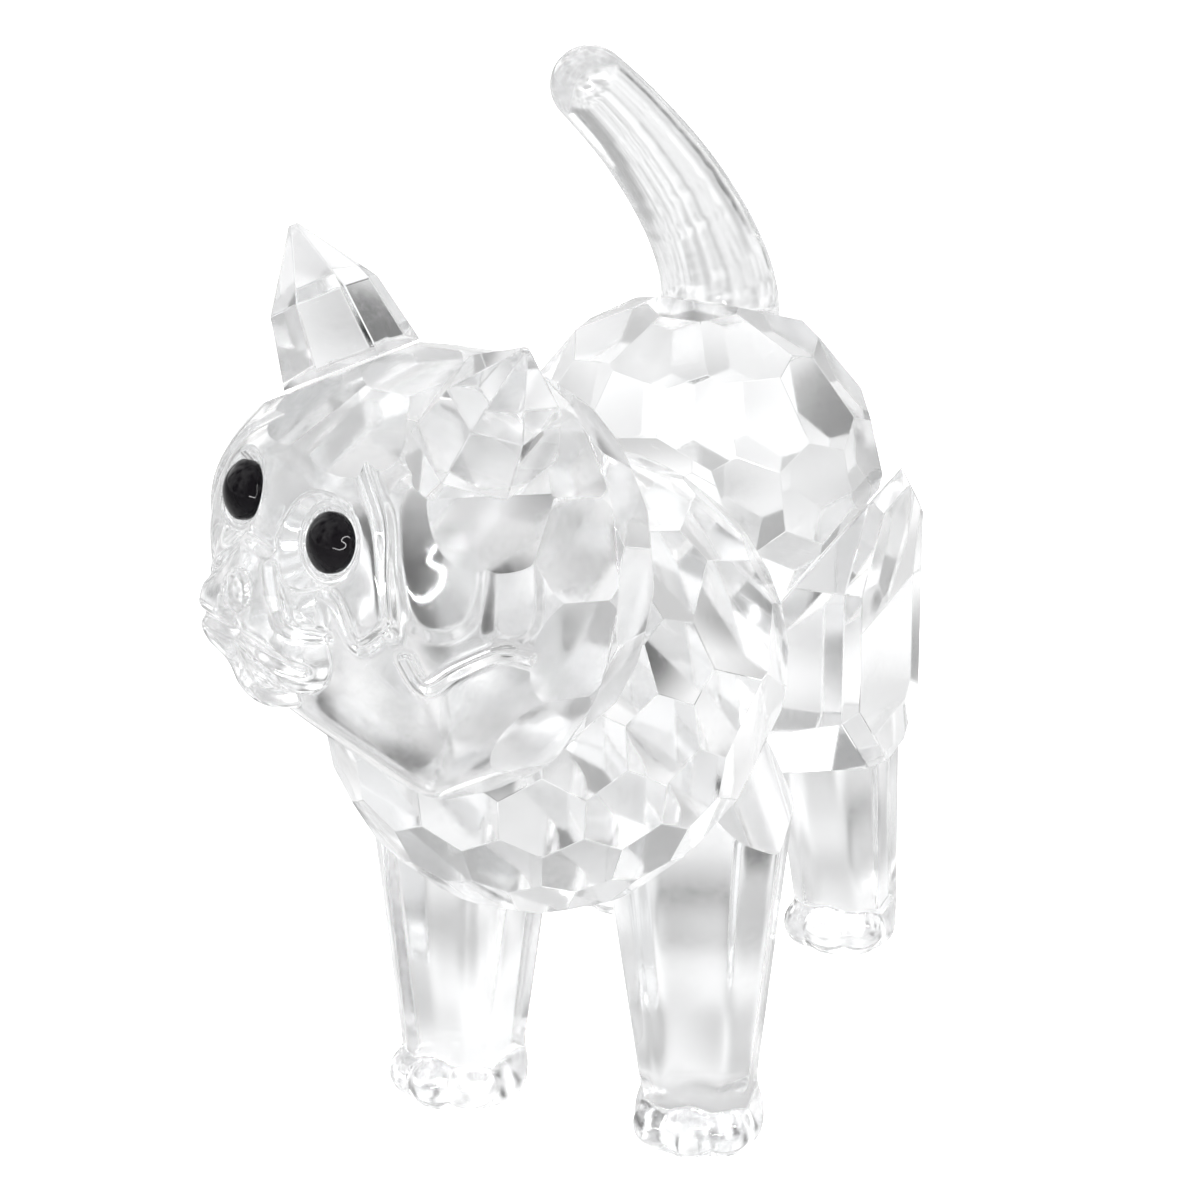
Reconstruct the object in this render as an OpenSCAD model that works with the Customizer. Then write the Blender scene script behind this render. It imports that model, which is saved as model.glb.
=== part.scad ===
// Standing cat figurine in clear cut crystal.
// Faceted balls make the head, chest and rump. The face, paws, legs and tail are moulded or cut.
// Every piece is a separate solid. Ground flats meet across a thin film of clear adhesive.
//
// Frame: +Z up, the body faces -Y, the cat's left side is +X.
// The origin is on the ground, at the centre of the figurine's bounding box.

/* [Chest] */
// Radius of the chest ball
chest_r = 10; // [9.8:0.1:10.3]
// Height of the chest centre above the ground
chest_z = 24.1; // [23.8:0.1:24.6]
// How far the chest ball is drawn out towards the rump
chest_stretch = 4.2; // [3.8:0.1:4.6]

/* [Rump] */
// Radius of the rump ball
rump_r = 9.3; // [9.1:0.1:9.5]
// Distance of the rump centre behind the chest centre
rump_back = 20; // [19.8:0.1:20.2]
// Height of the rump centre above the chest centre
rump_rise = 3.1; // [2.8:0.1:3.4]

/* [Head] */
// Radius of the head ball
head_r = 10; // [9.8:0.1:10.2]
// Distance of the head centre in front of the chest centre
head_ahead = 10.9; // [10.6:0.1:11.4]
// Height of the head centre above the chest centre
head_rise = 10.6; // [10.3:0.1:10.9]
// Sideways place of the head centre, the cat's right is negative
head_side = -0.7; // [-1.2:0.1:0]
// Turn of the head towards the cat's right
head_yaw = 31; // [26:1:36]
// Upward tilt of the face
head_pitch = 13; // [10:1:16]
// Sideways lean of the head
head_roll = 2.4; // [0:0.1:4]

/* [Ears] */
// Height of an ear above its seat
ear_h = 7; // [6:0.1:7.5]
// Radius of the circle inside the base of an ear
ear_r = 2.7; // [2.6:0.1:2.9]

/* [Eyes] */
// Diameter of the black eye stones
eye_d = 2.6; // [2.4:0.1:2.8]
// Distance of each eye from the middle of the face
eye_side = 3.15; // [3:0.05:3.3]
// Height of the eyes above the head centre
eye_up = 2.7; // [2.4:0.1:3]

/* [Legs] */
// Distance of each front paw from the middle plane
front_paw_x = 6.1; // [5.9:0.1:6.3]
// Distance of the front paws behind the chest centre
front_paw_y = 5; // [4.6:0.1:5.2]
// Outward turn of the front legs
toe_out = 10; // [0:1:15]
// Distance of each hind paw from the middle plane
hind_paw_x = 6; // [5.8:0.1:6.2]
// Distance of the hind paws behind the chest centre
hind_paw_y = 26.6; // [26:0.1:27]

/* [Tail] */
// Radius of the tail where it meets the rump
tail_base_r = 3; // [2.8:0.1:3.1]
// Radius of the tail near its tip
tail_tip_r = 1.9; // [1.6:0.1:2.1]

/* [Adhesive] */
// Thickness of the clear film in each bonded joint
film = 0.1; // [0.08:0.01:0.15]

/* [Hidden] */
$fn = 64;
block = 80;

// Facet planes lie a little inside a ball's radius, so that the corners reach the radius.
chest_share = 0.972;
rump_share = 0.955;
head_share = 0.962;

ahead = [0, -1, 0];

// Moves the chest centre so that the middle of the bounding box stands over the origin.
centre_x = 0.15;
centre_y = -4.19;

chest_c = [0, 0, chest_z];
rump_c = chest_c + [0, rump_back, rump_rise];
head_c = chest_c + [head_side, -head_ahead, head_rise];

// Rows of facets: latitude, number of facets, longitude of the first one.
chest_rows = [
    [-90, 1, 0], [-67, 8, 0], [-46, 16, 0], [-28, 16, 11.25], [-9, 16, 0],
    [9, 16, 11.25], [28, 16, 0], [46, 16, 11.25], [67, 8, 11.25], [90, 1, 0]];
rump_rows = [
    [-90, 1, 0], [-64, 7, 0], [-38, 13, 0], [-13, 13, 13.8],
    [12, 13, 0], [37, 13, 13.8], [63, 7, 13.8], [90, 1, 0]];
// About the axis of the face: latitude 90 is straight ahead, longitude 90 is the top of the head.
face_rows = [[-4, 14, 0]];
brow_rows = [[19, [38.6, 64.3, 90, 115.7, 141.4]], [41, [77.1, 102.9]]];
back_rows = [[-4, 14, 0], [-27, 14, 12.9], [-49, 14, 0], [-70, 7, 0], [-90, 1, 0]];

// Seats: the direction of the ground flat seen from a ball's centre, and its distance.
neck_dir = unit(head_c - chest_c);
neck_d = norm(head_c - chest_c) / 2;
waist_d = 12.4;
shoulder_dir = unit([0.57, 0.34, -0.77]);
shoulder_d = 8.8;
haunch_dir = unit([0.8, 0, -0.6]);
haunch_d = 7.2;
tail_dir = unit([0, 0.42, 0.9]);
tail_d = 8.2;
face_plane = -2.6;

// A slanting cut takes the outer top corner off each front leg.
bevel_dir = unit([0.75, 0, 0.66]);
bevel_d = 13.8;

ear_dir = unit([0.51, -0.28, 0.81]);
ear_axis = unit([0.54, -0.26, 0.8]);
ear_seat = 9.25;
ear_tip_flat = 0.35;
ear_base_slope = 10;
ear_tip_r = 4;
ear_facets = [-90, -35, 20, 90, 160, 215];

// The eyes look a little outwards and upwards.
eye_turn = 6;
eye_lift = 6;
eye_dir = [sin(eye_turn) * cos(eye_lift), -cos(eye_turn) * cos(eye_lift), sin(eye_lift)];
eye_ahead = 7.95;
eye_dome = 0.7;
eye_edge = 0.35;
socket_gap = 0.06;
bowl_r = 1.75;
bowl_h = 2.2;

// Muzzle, nose, whisker pads and chin: centre in the head's frame, radius.
face_lumps = [
    [[0, -6.8, -0.9], 3.5], [[0, -9.9, -0.5], 1],
    [[1.7, -8, -2.2], 2.2], [[-1.7, -8, -2.2], 2.2], [[0, -7.2, -4], 2]];
// The front of the face is flatter than the ball behind it, and the jaw falls back.
brow_ball_r = 13;
brow_ball_c = [0, 4, 2];

ankle_z = 3.2;
// Sides of a shank: direction, outward lean above the ankle. The hind shank slopes forward.
front_sides = [[-90, 5], [90, 5], [0, 6], [180, 8]];
front_corners = [[-45, 5.5], [-135, 6.5], [45, 5.5], [135, 6.5]];
hind_sides = [[-90, 18], [90, -11], [0, 3], [180, 3]];
hind_corners = [[-45, 12], [-135, 12], [45, -6], [135, -6]];
front_half = 2.65;
hind_half = 2.4;
seat_z = 13.4;
corner_share = 1.16;

thigh_in = 3.7;
thigh_out = 10.2;
thigh_y = 20.5;
thigh_z = 21.3;
rim_at = 8;
rim_tilt = 22;
// Rim of a thigh: direction in the side view, distance from the middle of the thigh.
thigh_rim = [[0, 6], [45, 7.2], [90, 7.4], [135, 6.9], [180, 6.3], [225, 7.2], [315, 8.8]];
table_tilt = 55;
table_in = 1.5;

front_paw_r = 3.1;
hind_paw_r = 2.7;
front_reach = 2.5;
hind_reach = 2.1;
paw_z = 0.9;
toe_r = 1.3;
toe_z = 1.2;
toe_turns = [-38, 0, 38];

tail_sides = 20;
tail_rings = 14;
tail_tip = [-4.9, -4.8, 12.2];
tail_rise = 2.2;
tail_curl = [3.2, 3.4, -4.8];
tip_rings = 5;

function unit(v) = v / norm(v);

function other_side(v) = [-v.x, v.y, v.z];

// Keeps what lies on the origin's side of the plane that is square to dir, d away from the origin.
module keep_inside(dir, d) {
    n = unit(dir);
    rotate([0, acos(n.z), atan2(n.y, n.x)])
        translate([-block / 2, -block / 2, d - block])
            cube(block);
}

module keep_outside(dir, d) {
    keep_inside(-dir, -d);
}

function facet_dir(lon, lat) = [cos(lat) * cos(lon), cos(lat) * sin(lon), sin(lat)];

// A ball cut all over with flat facets, and drawn out along stretch.
module facet_ball(d, rows, stretch = [0, 0, 0]) {
    intersection_for(row = rows)
        intersection_for(i = [0 : row[1] - 1])
            facet_plane(facet_dir(row[2] + i * 360 / row[1], row[0]), d, stretch);
}

module facet_plane(dir, d, stretch) {
    keep_inside(dir, d + max(0, dir * stretch));
}

// A round film of adhesive on a seat.
module film_disc(dir, d, r) {
    n = unit(dir);
    rotate([0, acos(n.z), atan2(n.y, n.x)])
        translate([0, 0, d])
            cylinder(r = r, h = film);
}

module on_side(side) {
    if (side > 0)
        children();
    else
        mirror([1, 0, 0])
            children();
}

module clear_glass() {
    color([0.9, 0.93, 0.95, 0.4])
        children();
}

module adhesive() {
    color([0.95, 0.95, 0.9, 0.3])
        children();
}

module whole_cat() {
    translate([centre_x, centre_y, 0])
        children();
}

module chest_place() {
    whole_cat()
        translate(chest_c)
            children();
}

module rump_place() {
    whole_cat()
        translate(rump_c)
            children();
}

module head_place() {
    whole_cat()
        translate(head_c)
            rotate([-head_pitch, head_roll, -head_yaw])
                children();
}

// In the head's own frame the neck direction is turned back by the head's turns.
function turn_z(v, a) = [v.x * cos(a) - v.y * sin(a), v.x * sin(a) + v.y * cos(a), v.z];
function turn_y(v, a) = [v.x * cos(a) + v.z * sin(a), v.y, v.z * cos(a) - v.x * sin(a)];
function turn_x(v, a) = [v.x, v.y * cos(a) - v.z * sin(a), v.y * sin(a) + v.z * cos(a)];
neck_in_head = turn_x(turn_y(turn_z(-neck_dir, head_yaw), -head_roll), head_pitch);

module chest() {
    clear_glass()
        chest_place()
            intersection() {
                facet_ball(chest_r * chest_share, chest_rows, [0, chest_stretch, 0]);
                keep_inside(neck_dir, neck_d - film / 2);
                keep_inside([0, 1, 0], waist_d - film / 2);
                keep_inside(shoulder_dir, shoulder_d);
                keep_inside(other_side(shoulder_dir), shoulder_d);
            }
}

module rump() {
    clear_glass()
        rump_place()
            intersection() {
                facet_ball(rump_r * rump_share, rump_rows);
                keep_inside([0, -1, 0], rump_back - waist_d - film / 2);
                keep_inside(haunch_dir, haunch_d);
                keep_inside(other_side(haunch_dir), haunch_d);
                keep_inside(tail_dir, tail_d);
            }
}

module head_back() {
    clear_glass()
        head_place()
            intersection() {
                rotate([90, 0, 0])
                    facet_ball(head_r * head_share, back_rows);
                keep_inside(ahead, face_plane - film);
                keep_inside(neck_in_head, neck_d - film / 2);
            }
}

module face() {
    clear_glass()
        head_place()
            difference() {
                intersection() {
                    union() {
                        intersection() {
                            sphere(r = head_r);
                            translate(brow_ball_c)
                                sphere(r = brow_ball_r);
                        }
                        for (lump = face_lumps)
                            translate(lump[0])
                                sphere(r = lump[1]);
                    }
                    rotate([90, 0, 0])
                        facet_ball(head_r * head_share, face_rows);
                    brow_facets();
                    keep_outside(ahead, face_plane);
                    keep_inside(neck_in_head, neck_d - film / 2);
                    keep_inside(ear_dir, ear_seat);
                    keep_inside(other_side(ear_dir), ear_seat);
                }
                eye_socket(1);
                eye_socket(-1);
            }
}

module brow_facets() {
    rotate([90, 0, 0])
        intersection_for(row = brow_rows)
            intersection_for(lon = row[1])
                keep_inside(facet_dir(lon, row[0]), head_r * head_share);
}

module eye_place(side) {
    on_side(side)
        translate([eye_side, -eye_ahead, eye_up])
            rotate([0, acos(eye_dir.z), atan2(eye_dir.y, eye_dir.x)])
                children();
}

module eye_socket(side) {
    eye_place(side) {
        translate([0, 0, -film])
            cylinder(d = eye_d + 2 * socket_gap, h = film + bowl_h);
        translate([0, 0, eye_edge])
            cylinder(r1 = bowl_r, r2 = bowl_r + bowl_h, h = bowl_h);
    }
}

// A black stone with a low dome on a straight edge.
module eye(side) {
    dome_r = (pow(eye_d / 2, 2) + pow(eye_dome, 2)) / (2 * eye_dome);
    color([0.02, 0.02, 0.02])
        head_place()
            eye_place(side)
                intersection() {
                    cylinder(d = eye_d, h = eye_edge + eye_dome + film);
                    translate([0, 0, eye_edge + eye_dome - dome_r])
                        sphere(r = dome_r);
                }
}

module ear_facet(lon, radius, slope) {
    keep_inside(facet_dir(lon, slope), radius * cos(slope));
}

// The sides of an ear rise steeply from its seat, then slope in to the tip.
module ear(side) {
    tip_slope = atan(ear_tip_r / ear_h);
    lon = atan2(ear_axis.y, ear_axis.x);
    clear_glass()
        head_place()
            on_side(side)
                intersection() {
                    keep_outside(ear_dir, ear_seat + film);
                    translate(ear_dir * ear_seat)
                        rotate([0, acos(ear_axis.z), lon])
                            rotate([0, 0, -lon])
                                intersection() {
                                    keep_inside([0, 0, 1], ear_h - ear_tip_flat);
                                    intersection_for(a = ear_facets)
                                        ear_facet(a, ear_r, ear_base_slope);
                                    intersection_for(a = ear_facets)
                                        ear_facet(a, ear_tip_r, tip_slope);
                                }
                }
}

// A flat side of a shank. It passes the ankle at half width and leans out above it by slope.
module shank_side(lon, half, slope) {
    keep_inside(facet_dir(lon, -slope), half * cos(slope) - ankle_z * sin(slope));
}

module shank(half, sides, corners) {
    intersection() {
        intersection_for(s = sides)
            shank_side(s[0], half, s[1]);
        intersection_for(s = corners)
            shank_side(s[0], half * corner_share, s[1]);
    }
}

module front_place(side) {
    whole_cat()
        on_side(side)
            translate([front_paw_x, front_paw_y, 0])
                children();
}

module front_outline() {
    rotate([0, 0, toe_out])
        shank(front_half, front_sides, front_corners);
}

// The plane of the shoulder seat in the frame of the paw, moved out along the seat's direction.
module beyond_shoulder(gap) {
    translate(chest_c - [front_paw_x, front_paw_y, 0])
        keep_outside(shoulder_dir, shoulder_d + gap);
}

module within_shoulder(gap) {
    translate(chest_c - [front_paw_x, front_paw_y, 0])
        keep_inside(shoulder_dir, shoulder_d + gap);
}

module paw(r, reach) {
    intersection() {
        union() {
            translate([0, 0, paw_z])
                sphere(r = r);
            for (a = toe_turns)
                translate([reach * sin(a), -reach * cos(a), toe_z])
                    sphere(r = toe_r);
        }
        keep_outside([0, 0, 1], 0);
    }
}

module front_leg(side) {
    clear_glass()
        front_place(side)
            union() {
                intersection() {
                    front_outline();
                    keep_outside([0, 0, 1], paw_z);
                    keep_inside(bevel_dir, bevel_d);
                    beyond_shoulder(film);
                }
                rotate([0, 0, toe_out])
                    paw(front_paw_r, front_reach);
            }
}

module hind_place(side) {
    whole_cat()
        on_side(side)
            translate([hind_paw_x, hind_paw_y, 0])
                children();
}

module hind_leg(side) {
    clear_glass()
        hind_place(side)
            union() {
                intersection() {
                    shank(hind_half, hind_sides, hind_corners);
                    keep_outside([0, 0, 1], paw_z);
                    keep_inside([0, 0, 1], seat_z - film);
                }
                paw(hind_paw_r, hind_reach);
            }
}

module thigh_facet(angle, radius, tilt, out) {
    dir = [sin(tilt), cos(tilt) * cos(angle), cos(tilt) * sin(angle)];
    keep_inside(dir, sin(tilt) * out + cos(tilt) * radius);
}

module thigh(side) {
    clear_glass()
        whole_cat()
            on_side(side)
                intersection() {
                    keep_inside([1, 0, 0], thigh_out);
                    keep_outside([1, 0, 0], thigh_in);
                    keep_outside([0, 0, 1], seat_z);
                    translate(rump_c)
                        keep_outside(haunch_dir, haunch_d + film);
                    translate([0, thigh_y, thigh_z])
                        intersection_for(s = thigh_rim)
                            intersection() {
                                thigh_facet(s[0], s[1], rim_tilt, rim_at);
                                thigh_facet(s[0], s[1] - table_in, table_tilt, thigh_out);
                            }
                }
}

// Centre line of the tail: a cubic curve from the seat to the tip.
function cubic(a, b, c, d, t) =
    a * pow(1 - t, 3) + 3 * b * t * pow(1 - t, 2) + 3 * c * t * t * (1 - t) + d * pow(t, 3);
function cubic_slope(a, b, c, d, t) =
    3 * (b - a) * pow(1 - t, 2) + 6 * (c - b) * t * (1 - t) + 3 * (d - c) * t * t;

tail_a = tail_dir * (tail_d + film);
tail_b = tail_a + tail_dir * tail_rise;
tail_e = tail_a + tail_tip;
tail_c = tail_e + tail_curl;

// The tail narrows along its length, and its tip is rounded off in the last rings.
function tail_at(i) =
    let (t = min(1, i / tail_rings),
         along = unit(cubic_slope(tail_a, tail_b, tail_c, tail_e, t)),
         over = 90 * max(0, i - tail_rings) / (tip_rings + 0.6),
         r = tail_base_r + (tail_tip_r - tail_base_r) * t)
    [cubic(tail_a, tail_b, tail_c, tail_e, t) + along * r * sin(over), along, r * cos(over)];

function tail_ring(i) =
    let (at = tail_at(i), u = unit(cross(at[1], [1, 0, 0])), v = cross(at[1], u))
    [for (k = [0 : tail_sides - 1])
        at[0] + at[2] * (u * cos(360 * k / tail_sides) + v * sin(360 * k / tail_sides))];

module tail() {
    rings = tail_rings + tip_rings;
    n = tail_sides;
    points = [for (i = [0 : rings]) each tail_ring(i)];
    sides = [for (i = [0 : rings - 1], k = [0 : n - 1])
        [i * n + k, i * n + (k + 1) % n, (i + 1) * n + (k + 1) % n, (i + 1) * n + k]];
    bottom = [for (k = [n - 1 : -1 : 0]) k];
    top = [for (k = [0 : n - 1]) rings * n + k];
    clear_glass()
        rump_place()
            polyhedron(points, concat(sides, [bottom, top]));
}

module glue_neck() {
    adhesive()
        chest_place()
            film_disc(neck_dir, neck_d - film / 2, 5.3);
}

module glue_waist() {
    adhesive()
        chest_place()
            film_disc([0, 1, 0], waist_d - film / 2, 4);
}

module glue_face() {
    adhesive()
        head_place()
            film_disc(-ahead, -face_plane, 9.2);
}

module glue_ear(side) {
    adhesive()
        head_place()
            on_side(side)
                film_disc(ear_dir, ear_seat, 2.5);
}

module glue_eye(side) {
    adhesive()
        head_place()
            eye_place(side)
                translate([0, 0, -film])
                    cylinder(d = eye_d, h = film);
}

module glue_front_leg(side) {
    adhesive()
        front_place(side)
            intersection() {
                front_outline();
                keep_inside(bevel_dir, bevel_d);
                beyond_shoulder(0);
                within_shoulder(film);
            }
}

module glue_thigh(side) {
    adhesive()
        whole_cat()
            on_side(side)
                translate(rump_c)
                    film_disc(haunch_dir, haunch_d, 4.6);
}

module glue_hind_leg(side) {
    adhesive()
        hind_place(side)
            intersection() {
                shank(hind_half, hind_sides, hind_corners);
                keep_inside([0, 0, 1], seat_z);
                keep_outside([0, 0, 1], seat_z - film);
            }
}

module glue_tail() {
    adhesive()
        rump_place()
            film_disc(tail_dir, tail_d, tail_base_r);
}

chest();
rump();
head_back();
face();
ear(1);  // ear_left
ear(-1);  // ear_right
eye(1);  // eye_left
eye(-1);  // eye_right
front_leg(1);  // front_leg_left
front_leg(-1);  // front_leg_right
thigh(1);  // thigh_left
thigh(-1);  // thigh_right
hind_leg(1);  // hind_leg_left
hind_leg(-1);  // hind_leg_right
tail();
glue_neck();
glue_waist();
glue_face();
glue_ear(1);  // glue_ear_left
glue_ear(-1);  // glue_ear_right
glue_eye(1);  // glue_eye_left
glue_eye(-1);  // glue_eye_right
glue_front_leg(1);  // glue_front_leg_left
glue_front_leg(-1);  // glue_front_leg_right
glue_thigh(1);  // glue_thigh_left
glue_thigh(-1);  // glue_thigh_right
glue_hind_leg(1);  // glue_hind_leg_left
glue_hind_leg(-1);  // glue_hind_leg_right
glue_tail();
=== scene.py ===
"""Standing cat figurine in clear cut crystal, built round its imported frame."""

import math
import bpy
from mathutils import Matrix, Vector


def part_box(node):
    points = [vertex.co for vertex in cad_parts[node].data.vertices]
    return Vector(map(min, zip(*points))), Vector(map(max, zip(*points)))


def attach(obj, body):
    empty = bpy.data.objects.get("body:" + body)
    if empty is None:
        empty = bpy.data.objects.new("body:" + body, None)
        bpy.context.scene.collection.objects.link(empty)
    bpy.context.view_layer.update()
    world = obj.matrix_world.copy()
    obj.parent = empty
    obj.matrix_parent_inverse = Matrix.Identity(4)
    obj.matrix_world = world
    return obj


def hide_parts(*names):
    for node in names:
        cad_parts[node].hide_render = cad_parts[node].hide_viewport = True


bl_info = {
    "name": "Crystal Cat Figurine",
    "version": (1, 0, 0),
    "blender": (4, 5, 0),
    "location": "View3D > Sidebar > Crystal Cat",
    "description": "Cut crystal balls, moulded face, legs and tail, stone eyes and a pale stage",
    "category": "Add Mesh",
}

import bmesh
import bpy
import numpy as np
from mathutils import Vector

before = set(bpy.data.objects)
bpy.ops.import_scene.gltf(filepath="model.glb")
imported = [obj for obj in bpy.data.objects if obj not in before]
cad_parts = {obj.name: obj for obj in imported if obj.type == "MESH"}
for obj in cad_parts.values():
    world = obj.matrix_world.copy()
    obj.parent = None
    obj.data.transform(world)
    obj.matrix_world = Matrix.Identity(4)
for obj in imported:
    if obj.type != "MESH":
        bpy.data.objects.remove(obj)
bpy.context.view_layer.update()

MM = 0.001
BODY = "root"
SIDES = {"left": 1, "right": -1}

# How far the head ball's centre lies in front of the film between its two halves.
FACE_PLANE = 2.65 * MM
# Vertices nearer to each other than this are one place.
SAME_PLACE = 0.0005 * MM


# ---------------------------------------------------------------- frame


def film_seat(name):
    """Centre, unit normal and half thickness of a film of adhesive."""
    places = np.array([v.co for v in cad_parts[name].data.vertices], float)
    places = np.unique(np.round(places / SAME_PLACE).astype(int), axis=0) * SAME_PLACE
    centre = places.mean(0)
    thin = np.linalg.svd(places - centre, full_matrices=False)[2][2]
    half = max(abs(float(x)) for x in (places - centre) @ thin)
    return Vector(centre), Vector(thin), half


FILMS = sorted(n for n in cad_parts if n.startswith("glue_"))
SEATS = {n: film_seat(n) for n in FILMS}


def head_axes():
    """The head ball's centre and its left, forward and up axes."""
    middle, forward, _half = SEATS["glue_face"]
    ears = SEATS["glue_ear_left"][0] - SEATS["glue_ear_right"][0]
    nose_side = (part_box("face")[0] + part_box("face")[1]) / 2 - middle
    forward = forward if forward.dot(nose_side) > 0 else -forward
    left = (ears - forward * ears.dot(forward)).normalized()
    up = left.cross(forward).normalized()
    up = up if up.z > 0 else -up
    return middle + forward * FACE_PLANE, left, forward, up


HEAD, LEFT, FORWARD, UP = head_axes()


def in_head(point):
    """A point given as left, forward and up from the head's centre, in the frame."""
    return HEAD + LEFT * point[0] + FORWARD * point[1] + UP * point[2]


# ---------------------------------------------------------------- nodes and materials

# How much the polish scatters light, and how deep and how close together its waves are.
CUT_SMEAR = 0.18
WAVES_PER_METRE = 300.0
MOULDED_SMEAR = 0.22
MOULDED_WAVE = 0.004 * MM
MOULDED_WAVES_PER_METRE = 400.0
STONE_SMEAR = 0.12
STONE_IOR = 1.22
STONE_DARK = (0.002, 0.002, 0.003, 1.0)
STONE_LIGHT = (0.008, 0.007, 0.008, 1.0)
CLEAR = (1.0, 1.0, 1.0)


def node(tree, kind, **values):
    made = tree.nodes.new(kind)
    for key, value in values.items():
        setattr(made, key, value)
    return made


def link(tree, a, out, b, into):
    tree.links.new(a.outputs[out], b.inputs[into])


def polish_group():
    """Shader group: fine streaks of polish over slow drifts of waviness."""
    made = bpy.data.node_groups.get("Polished surface")
    if made:
        return made
    made = bpy.data.node_groups.new("Polished surface", "ShaderNodeTree")
    face = made.interface
    for name, default in (("Waves", WAVES_PER_METRE), ("Streaks", 2500.0), ("Smear", 0.02)):
        sock = face.new_socket(name, in_out="INPUT", socket_type="NodeSocketFloat")
        sock.default_value = default
    for name in ("Wave", "Roughness", "Tone"):
        face.new_socket(name, in_out="OUTPUT", socket_type="NodeSocketFloat")
    start = node(made, "NodeGroupInput")
    end = node(made, "NodeGroupOutput")
    place = node(made, "ShaderNodeTexCoord")
    wave = node(made, "ShaderNodeTexNoise")
    wave.inputs["Detail"].default_value = 1.5
    streak = node(made, "ShaderNodeTexNoise")
    streak.inputs["Detail"].default_value = 3.0
    for tex, size in ((wave, "Waves"), (streak, "Streaks")):
        link(made, place, "Object", tex, "Vector")
        link(made, start, size, tex, "Scale")
    rough = node(made, "ShaderNodeMath", operation="MULTIPLY")
    link(made, streak, "Fac", rough, 0)
    link(made, start, "Smear", rough, 1)
    tone = node(made, "ShaderNodeMapRange")
    link(made, wave, "Fac", tone, "Value")
    tone.inputs["To Min"].default_value = 0.97
    tone.inputs["To Max"].default_value = 1.0
    link(made, wave, "Fac", end, "Wave")
    link(made, rough, 0, end, "Roughness")
    link(made, tone, "Result", end, "Tone")
    return made


def glass(name, tint, ior, smear, wave=0.0, waves=WAVES_PER_METRE):
    """Clear glass with a polished surface. wave is the depth of its waviness in metres."""
    made = bpy.data.materials.new(name)
    made.use_nodes = True
    tree = made.node_tree
    shader = tree.nodes["Principled BSDF"]
    shader.inputs["Transmission Weight"].default_value = 1.0
    shader.inputs["IOR"].default_value = ior
    polish = node(tree, "ShaderNodeGroup", node_tree=polish_group())
    polish.inputs["Smear"].default_value = smear
    polish.inputs["Waves"].default_value = waves
    colour = node(tree, "ShaderNodeMix", data_type="RGBA", blend_type="MULTIPLY")
    colour.inputs["Factor"].default_value = 1.0
    colour.inputs["A"].default_value = (*tint, 1.0)
    tree.links.new(polish.outputs["Tone"], colour.inputs["B"])
    tree.links.new(colour.outputs["Result"], shader.inputs["Base Color"])
    link(tree, polish, "Roughness", shader, "Roughness")
    if wave > 0:
        bump = node(tree, "ShaderNodeBump")
        bump.inputs["Strength"].default_value = 1.0
        bump.inputs["Distance"].default_value = wave
        link(tree, polish, "Wave", bump, "Height")
        link(tree, bump, "Normal", shader, "Normal")
    return made


def bonded_glass():
    """The ground seats: light passes the adhesive as if the two pieces were one."""
    made = bpy.data.materials.get("Bonded seat")
    return made or glass("Bonded seat", CLEAR, 1.0, 0.0)


def black_stone():
    """Black stone that shows only a faint reflection of the room."""
    made = bpy.data.materials.new("Black eye stone")
    made.use_nodes = True
    tree = made.node_tree
    shader = tree.nodes["Principled BSDF"]
    shader.inputs["IOR"].default_value = STONE_IOR
    polish = node(tree, "ShaderNodeGroup", node_tree=polish_group())
    polish.inputs["Smear"].default_value = STONE_SMEAR
    ramp = node(tree, "ShaderNodeValToRGB")
    ramp.color_ramp.elements[0].color = STONE_DARK
    ramp.color_ramp.elements[1].color = STONE_LIGHT
    link(tree, polish, "Wave", ramp, "Fac")
    link(tree, ramp, "Color", shader, "Base Color")
    link(tree, polish, "Roughness", shader, "Roughness")
    return made


# ---------------------------------------------------------------- mesh helpers

# A face belongs to a seat when it lies this near the film's surface and this near its centre.
SEAT_REACH = 0.03 * MM
SEAT_WIDTH = 8 * MM
SEAT_FLATNESS = 0.9995
# Frame facets within this angle are one ground flat, and edges sharper than the next are softened.
SAME_FLAT = math.radians(0.3)
SHARP_EDGE = 0.02
WELD = 1e-6
CUT_MERGE = 1e-7


def new_piece(name, mesh, materials):
    """An object with its place in its mesh. The mesh keeps its own material indices."""
    made = bpy.data.objects.new(name, mesh)
    bpy.context.scene.collection.objects.link(made)
    for material in materials:
        mesh.materials.append(material)
    return made


def mark_seats(bm):
    """Gives the bonded material to every flat face that lies on a film of adhesive."""
    for face in bm.faces:
        middle = face.calc_center_median()
        for centre, normal, half in SEATS.values():
            flat = abs(face.normal.dot(normal)) > SEAT_FLATNESS
            near = abs((middle - centre).dot(normal)) < half + SEAT_REACH
            if flat and near and (middle - centre).length < SEAT_WIDTH:
                face.material_index = 1


def cut(bm, point, normal):
    """Grinds away what lies beyond a plane and closes the flat that is left."""
    geometry = bm.verts[:] + bm.edges[:] + bm.faces[:]
    done = bmesh.ops.bisect_plane(
        bm, geom=geometry, dist=CUT_MERGE, plane_co=point, plane_no=normal, clear_outer=True
    )
    rim = [e for e in done["geom_cut"] if isinstance(e, bmesh.types.BMEdge) and e.is_boundary]
    if rim:
        made = bmesh.ops.edgenet_fill(bm, edges=rim)
        for face in made["faces"]:
            face.smooth = False
            face.normal_update()
            if face.normal.dot(normal) < 0:
                face.normal_flip()
            for edge in face.edges:
                edge.smooth = False


def soften_edges(bm, width):
    """Takes the sharpness off every cut edge."""
    edges = [e for e in bm.edges if len(e.link_faces) == 2 and e.calc_face_angle(0) > SHARP_EDGE]
    bmesh.ops.bevel(
        bm, geom=edges, offset=width, segments=2, profile=0.5,
        affect="EDGES", clamp_overlap=True,
    )


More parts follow.
